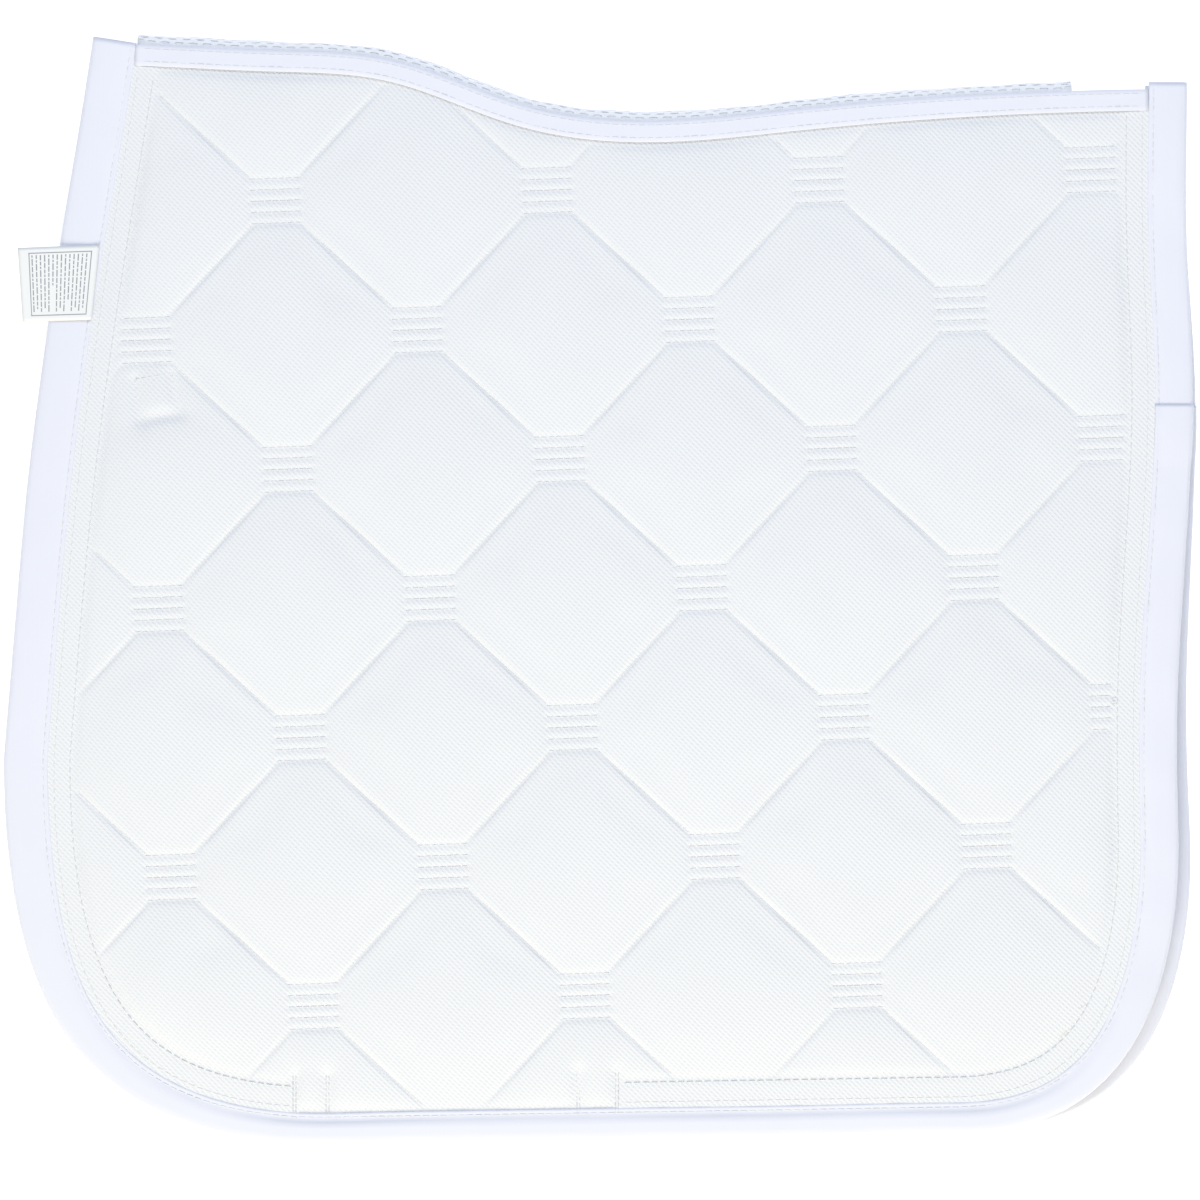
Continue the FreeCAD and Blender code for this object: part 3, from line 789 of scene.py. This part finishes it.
def thread_mesh(name, half, groups, material):
    """One mesh of small capsules, from (stitches, height) groups."""
    starts, stops = (
        np.concatenate([placed(half, lines[:, end], height) for lines, height in groups])
        for end in (slice(0, 2), slice(2, 4))
    )
    way = stops - starts
    way /= np.linalg.norm(way, axis=1, keepdims=True)
    side = np.cross(way, (0, 0, 1.0))
    side /= np.linalg.norm(side, axis=1, keepdims=True)
    top = np.cross(side, way)
    angles = np.arange(STITCH_SIDES) * 2 * np.pi / STITCH_SIDES
    cosines, sines = np.cos(angles)[None, :, None], np.sin(angles)[None, :, None]
    around = cosines * side[:, None] + sines * top[:, None]
    # Each ring's base, its shift along the stitch in millimetres and its share of the radius.
    stations = (starts, 0, 0.35), (starts, 0.4, 1), (stops, -0.4, 1), (stops, 0, 0.35)
    rings = []
    for base, shift, radius in stations:
        centre = base + way * shift * MM
        rings.append(centre[:, None] + around * STITCH_RADIUS * radius)
    points = np.stack(rings, 1).reshape(-1, 3)
    one = np.array(strip_faces(4, STITCH_SIDES, True))
    caps = [tuple(range(STITCH_SIDES))[::-1], tuple(range(3 * STITCH_SIDES, 4 * STITCH_SIDES))]
    faces = []
    for i in range(len(starts)):
        first = i * 4 * STITCH_SIDES
        faces += (one + first).tolist() + [[corner + first for corner in cap] for cap in caps]
    return mesh_piece(name, points, faces, material)


FARTHEST_BOX, SEWN_REACH = 8, 0.42              # from the origin, in boxes and along X or Y


def seam_lines(bands, gap_width):
    """Stitches in the quilting: the falling seams, the rising seams and the rows in the boxes."""
    falling, rising, rows = [], [], []
    steps = range(-FARTHEST_BOX, FARTHEST_BOX + 1)
    for s in steps:
        for t in steps:
            box = ORIGIN + np.array([s, t]) @ LATTICE
            if max(abs(box)) > SEWN_REACH:
                continue
            for seams, step in ((falling, DOWN), (rising, UP)):
                seams.append(box + np.linspace(0.02, 0.98, 60)[:, None] * step)
            for row in np.linspace(-1, 1, BOX_ROWS):
                along = np.linspace(-BOX_LONG, BOX_LONG, 24)[:, None]
                across = (DOWN + UP) / ROW
                high = (UP - DOWN) / COLUMN
                rows.append(box + along * across + row * BOX_HIGH * high)
    groups = []
    for lines, pitch in ((falling, 4.6 * MM), (rising, 4.6 * MM), (rows, 3.6 * MM)):
        kept = []
        for line in lines:
            inside, _, _ = zone(line, bands, gap_width)
            outside, _ = nearest_box(line)
            good = inside > 1.5 * MM
            if lines is not rows:
                good &= outside > 1 * MM
            if good.sum() > 4:
                kept.append(stitched(line[good], pitch, 0.9 * pitch))
        groups.append(np.concatenate(kept))
    return groups


def edge_row(front, bottom, rear, start, end):
    """A line between two runs at a distance in from the edge."""
    u = EDGE.u[(EDGE.u >= start) & (EDGE.u <= end)]
    return on_path(EDGE, u, widths(edge_share(u), front, bottom, rear))


def sewn_rectangle(corners, crossed=False):
    """A stitched box, with a cross in it if asked for."""
    pairs = [(0, 1), (1, 2), (2, 3), (3, 0)] + ([(0, 2), (1, 3)] if crossed else [])
    return [stitched(np.linspace(corners[a], corners[b], 20), 3.4 * MM, 2.5 * MM) for a, b in pairs]


def make_stitching(half, falling, rising, rows):
    """The thread that shows on the lining's side and on the cover's side of one half."""
    binding = stitched(edge_row(21.5, 15, 18.5, 2 * MM, EDGE.u[-1] - 2 * MM))
    band = np.concatenate([
        stitched(edge_row(*row, *ends))
        for row in ((27.5, 20.5, 24.5), (36.2, 31.2, 33.2)) for ends in BAND_RUNS
    ])
    tape_u = TAPE_PATH.u[2:-2]
    tape = np.concatenate([stitched(on_path(TAPE_PATH, tape_u, v * MM)) for v in (2.0, 8.9)])
    # A close row of the darker thread along the tape's lower edge, as painted shadow under the
    # tape's edge.
    tape_edge_shadow = stitched(on_path(TAPE_PATH, tape_u, 11.6 * MM), 2.6 * MM, 2.4 * MM)
    bars = []
    for corners in LOOP_ENDS:
        for low, high in ((1, 2), (0, 3)):
            for shift in (-0.8 * MM, 0.8 * MM):
                row = np.linspace(corners[low], corners[high], 20) + (shift, 0)
                bars.append(stitched(row, 3.0 * MM, 2.5 * MM))
    bars = np.concatenate(bars)
    strap = np.concatenate(sewn_rectangle(STRAP_BOX))
    strap_under = np.concatenate(sewn_rectangle(STRAP_BOX, True))
    on_lining = [(binding, 1.8 * MM), (band, 1.5 * MM), (tape, 2.35 * MM)]
    # These rows take the darker thread, whose colour is painted shade of the sewn grooves. The bars
    # take it too.
    sunk_shaded = [(falling, 0.98 * MM), (rising, 0.84 * MM), (rows, 0.92 * MM), (tape_edge_shadow, 1.62 * MM)]
    for lines, group, lift in ((bars, sunk_shaded, 0.25), (strap, on_lining, 0.02)):
        inside = zone(lines[:, :2], LINING_BANDS, LINING_GAP)[0]
        group.append((lines, sheet_height(lines[:, :2], inside, LINING_FULLNESS) + lift * MM))
    on_cover = [
        (binding, -1.95 * MM), (falling, -1.2 * MM), (rising, -1.2 * MM), (rows, -1.2 * MM),
        (strap_under, -6.25 * MM), (bars, -3.05 * MM),
    ]
    top = thread_mesh(f"{half.name}_lining_thread", half, on_lining, THREAD)
    seams = thread_mesh(f"{half.name}_quilting_thread", half, sunk_shaded, SEAM_SHADE_THREAD)
    under = thread_mesh(f"{half.name}_cover_thread", half, on_cover, THREAD)
    for piece in (top, seams, under):
        go_with(piece, half, "satin")
    return [top, seams], [under]


# ---------------------------------------------------------------- spine mesh


def make_spine_mesh():
    """The open net that joins the halves: rows of long holes, folded over between the tapes."""
    start, end = FRONT_END + 1 * MM, 260 * MM
    cell, rows, under = 7.6 * MM, 12, 5.0 * MM
    top, low = RIGHT.middle + 0.45 * MM, LEFT.middle - 0.45 * MM
    bulge, middle = 6.0 * MM, (top + low) / 2
    angle = np.linspace(-1, 1, 61) * math.pi / 2
    profile = np.column_stack(
        [bulge * np.cos(angle) ** 0.7, middle + (top - low) / 2 * np.sin(angle)]
    )
    profile = np.concatenate([[(-under, low)], profile, [(-under, top)]])
    run = np.concatenate([[0], np.cumsum(np.linalg.norm(np.diff(profile, axis=0), axis=1))])
    count = int((end - start) / (cell / 2))
    height = run[-1] / rows
    facing = np.gradient(profile, axis=0)
    facing /= np.linalg.norm(facing, axis=1)[:, None]

    def at(i, c, depth):
        """The place of column `i` and row `c`, at a depth inside the net's face."""
        x = start + i * cell / 2
        out, z, turn, climb = (
            np.interp(c * height, run, line) for line in (*profile.T, *facing.T)
        )
        out, z = out - depth * climb, z + depth * turn
        rumple = 0.2 * MM * math.sin(x / (5.1 * MM)) + 0.25 * MM * math.sin(x / (19 * MM) + c)
        fade = max(out + 1 * MM, 0) / bulge
        return x, float(spine_y(x)) + out + rumple * fade, z + 0.3 * rumple * fade

    points, faces, known = [], [], {}

    def vertex(i, c, depth=0.0):
        """The number of the vertex at a place, added if it is new."""
        key = (round(i, 4), round(c, 4), depth)
        if key not in known:
            known[key] = len(points)
            points.append(at(i, c, depth))
        return known[key]

    # Each cell is a ring around a long hole, in columns and rows.
    for row in range(rows):
        for i in range(row % 2, count - 1, 2):
            ring = [(i, row), (i + 1, row), (i + 2, row), (i + 2, row + 0.5), (i + 2, row + 1),
                    (i + 1, row + 1), (i, row + 1), (i, row + 0.5)]
            hole = [(-0.5, -0.2), (0, -0.25), (0.5, -0.2), (0.66, 0), (0.5, 0.2),
                    (0, 0.25), (-0.5, 0.2), (-0.66, 0)]
            outer = [vertex(*place) for place in ring]
            inner = [vertex(i + 1 + a, row + 0.5 + b) for a, b in hole]
            for k in range(8):
                n = (k + 1) % 8
                faces.append((outer[k], outer[n], inner[n], inner[k]))
    net = mesh_piece("spine_net", points, faces, NET)
    points, faces, known = [], [], {}
    for i in range(0, count, 2):
        for row in range(2 * rows):
            ring = ((i, row), (i + 2, row), (i + 2, row + 1), (i, row + 1))
            faces.append([vertex(a, b / 2, 0.5 * MM) for a, b in ring])
    backing = mesh_piece("spine_net_backing", points, faces, NET)
    for piece, thickness in ((net, 0.6), (backing, 0.3)):
        smooth = piece.modifiers.new("smooth", "SUBSURF")
        smooth.levels = smooth.render_levels = 1
        body = piece.modifiers.new("body", "SOLIDIFY")
        body.thickness, body.offset = thickness * MM, 0
        bpy.context.view_layer.objects.active = piece
        for modifier in (smooth.name, body.name):
            bpy.ops.object.modifier_apply(modifier=modifier)
        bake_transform(piece)
    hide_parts("spine_mesh")
    return net, backing, (end - start, float(run[-1]))


# ---------------------------------------------------------------- care label


def make_label():
    """A woven label sewn in at the inner edge of the front binding, with rows of printed bars."""
    corners = np.array([(-317.2, 185.8), (-272.6, 187.4), (-314.5, 145.4), (-276.9, 146.5)]) * MM

    def plan(a, b):
        """The place in plan, from shares of the way across and down the label."""
        top = corners[0] + a * (corners[1] - corners[0])
        low = corners[2] + a * (corners[3] - corners[2])
        return top + b * (low - top)

    def height(a, b):
        """The label's own curl, as a height over the half's mid-plane."""
        arch = 0.9 * math.sin(math.pi * (1 - a)) * 0.5
        return (3.1 + arch + 0.35 * math.cos(2.2 * b + 3 * a)) * MM

    def patch(low_a, high_a, low_b, high_b, columns, rows, lift, thick):
        """The points and faces of a closed piece of the label's cloth or print."""
        points = []
        for level in (lift + thick, lift):
            for b in np.linspace(low_b, high_b, rows):
                for a in np.linspace(low_a, high_a, columns):
                    points.append((*plan(a, b), height(a, b) + level))
        points = np.array(points)
        count = columns * rows
        grid = np.arange(count).reshape(rows, columns)
        quads = grid_quads((rows, columns))
        rim = np.concatenate([grid[0], grid[1:, -1], grid[-1, -2::-1], grid[-2:0:-1, 0]])
        walls = [(a, b, b + count, a + count) for a, b in zip(rim, np.roll(rim, -1))]
        faces = quads.tolist() + (quads[:, ::-1] + count).tolist() + walls
        return placed(RIGHT, points[:, :2], points[:, 2]), faces

    cloth_piece = mesh_piece("label_cloth", *patch(0, 1, 0, 1, 22, 22, 0, 0.25 * MM), LABEL)
    points, faces = [], []

    def printed(low_a, high_a, low_b, high_b):
        """Adds one printed bar."""
        columns, rows = (max(3, round(30 * side)) for side in (high_a - low_a, high_b - low_b))
        ends = low_a, high_a, low_b, high_b
        part, quads = patch(*ends, columns, rows, 0.26 * MM, 0.05 * MM)
        faces.extend([corner + len(points) for corner in quad] for quad in quads)
        points.extend(part.tolist())

    # The printed frame and the width of its lines, as shares of the label.
    left, right, near, far, line = 0.13, 0.905, 0.075, 0.925, 0.012
    for a in (left, right):
        printed(a, a + line, near, far)
    for b in (near, far - line):
        printed(left, right, b, b + line)
    for column in range(14):
        a = left + 0.035 + column * 0.0525
        short = (0.0, 0.12, 0.3)[(column * 5 + 1) % 3] * (column % 4 == 1)
        b, last = near + 0.035, far - 0.03 - short
        for k in range(40):
            length = 0.03 + 0.02 * ((column * 5 + k * 3) % 4)
            if b + length > last:
                break
            printed(a, a + 0.015, b, b + length)
            b += length + 0.018
    print_piece = mesh_piece("label_print_bars", points, faces, INK, smooth=False)
    go_with(cloth_piece, "care_label", "label", "care_label")
    go_with(print_piece, "care_label", "label")


# ---------------------------------------------------------------- assembly

CUT_EDGE, CUT_SPINE, GATHER = 7 * MM, 4 * MM, 0.42      # where the cloth ends, under the tapes
LOOP_CLEAR, PLAIT_STEP = 1 * MM, 1.4 * MM       # of the braids
FINE_COUNT = 52
FINE = lattice_grid(FINE_COUNT, LINING_BANDS, LINING_GAP, CUT_EDGE, CUT_SPINE, GATHER)
COARSE = lattice_grid(34, COVER_BANDS, COVER_GAP, CUT_EDGE, CUT_SPINE, GATHER)
CORE = lattice_grid(18, COVER_BANDS, COVER_GAP, 45 * MM, 15 * MM)
SEAMS = seam_lines(LINING_BANDS, LINING_GAP)


for half in (RIGHT, LEFT):
    lining, cover = make_quilting(half, FINE, COARSE, CORE)
    with_lining = make_binding(half) + make_spine_tape(half)
    (front_start, front_end), (rear_start, rear_end) = BAND_RUNS
    with_cover = [
        make_braid(half, "front", np.arange(front_start, front_end - LOOP_CLEAR, PLAIT_STEP)),
        make_braid(half, "rear", np.arange(rear_start + LOOP_CLEAR, rear_end, PLAIT_STEP)),
        make_loop(half), *make_strap(half),
    ]
    lining_thread, cover_thread = make_stitching(half, *SEAMS)
net, backing, net_size = make_spine_mesh()
make_label()

# ---------------------------------------------------------------- floor, light and camera

FLOOR_LEVEL, FLOOR_REACH = -0.5 * MM, 6
FLOOR = cloth("floor", (0.95, 0.95, 0.95), 0.9, 0.0, ((0, 9.0), (90, 9.0)), mottle=0.0)
floor_corners = [
    (x * FLOOR_REACH, y * FLOOR_REACH, FLOOR_LEVEL) for x, y in ((-1, -1), (1, -1), (1, 1), (-1, 1))
]
floor = mesh_piece("floor", floor_corners, [(0, 1, 2, 3)], FLOOR)
glow = floor.data.materials[0].node_tree.nodes["Principled BSDF"]
glow.inputs["Emission Color"].default_value = (1, 1, 1, 1)
glow.inputs["Emission Strength"].default_value = 0.35

world = bpy.data.worlds.new("studio")
bpy.context.scene.world = world
world.use_nodes = True
sky = world.node_tree.nodes["Background"]
sky.inputs["Color"].default_value = (0.88, 0.94, 1.0, 1)
sky.inputs["Strength"].default_value = 0.57


def soft_light(name, place, size, power, colour):
    """A large soft light that faces the pad."""
    lamp = bpy.data.lights.new(name, "AREA")
    lamp.size, lamp.energy, lamp.color = size, power, colour
    holder = bpy.data.objects.new(name, lamp)
    bpy.context.collection.objects.link(holder)
    holder.location = place
    holder.rotation_mode = "QUATERNION"
    holder.rotation_quaternion = (-Vector(place)).to_track_quat("-Z", "Y")


soft_light("key", (-0.3, -2.7, 1.95), 2.0, 102.0, (1.0, 0.92, 0.72))
soft_light("top", (0.2, 1.3, 2.2), 1.6, 29.0, (0.80, 0.86, 1.0))

CAMERA_HEIGHT, SENSOR, VIEW_WIDTH = 3.0, 36.0, 0.654
camera_data = bpy.data.cameras.new("camera")
camera_data.sensor_width = SENSOR
camera_data.lens = SENSOR * (CAMERA_HEIGHT - RIGHT_MIDDLE) / VIEW_WIDTH
camera = bpy.data.objects.new("camera", camera_data)
bpy.context.collection.objects.link(camera)
camera.location = (0, -6 * MM, CAMERA_HEIGHT)
bpy.context.scene.camera = camera
bpy.context.scene.view_settings.view_transform = "Standard"
